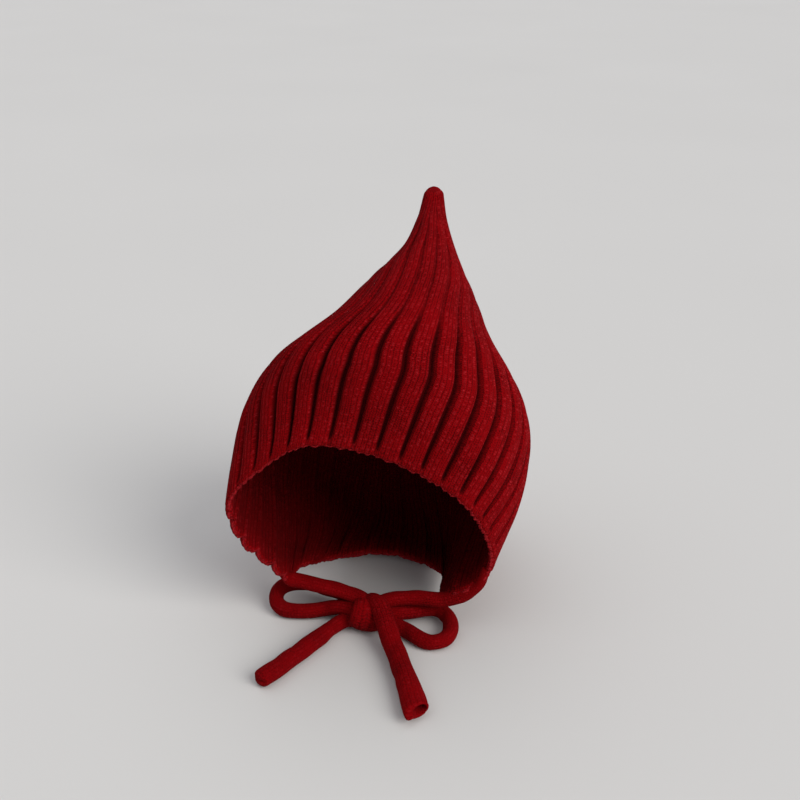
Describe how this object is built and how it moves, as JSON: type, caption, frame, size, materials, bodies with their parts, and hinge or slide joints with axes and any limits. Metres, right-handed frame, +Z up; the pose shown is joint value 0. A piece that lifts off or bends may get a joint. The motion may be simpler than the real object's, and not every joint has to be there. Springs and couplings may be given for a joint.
{
  "type": "elf hat",
  "caption": "Wide-ribbed knitted hood for a baby with a soft pointed peak, open at the face and neck, and knitted cords tied in a bow.",
  "frame": {"origin": "inside the hood, where the crown of the wearer's head carries it, 127 mm above the surface that the bow lies on", "axes": "+Z up towards the peak, -Y out of the face opening, +X to the right as seen from the front"},
  "size_m": [0.1421, 0.1808, 0.2044],
  "materials": {
    "hood_knit": "matt, slightly fuzzy wool rib knit",
    "cord_knit": "matt, slightly fuzzy wool cord knit"
  },
  "bodies": {
    "root": {"knit_crown": "hood_knit", "bow_knot": "cord_knit", "tie_strap_left": "cord_knit", "tie_strap_right": "cord_knit", "bow_loop_left": "cord_knit", "bow_loop_right": "cord_knit", "bow_tail_left": "cord_knit", "bow_tail_right": "cord_knit"}
  },
  "joints": []
}
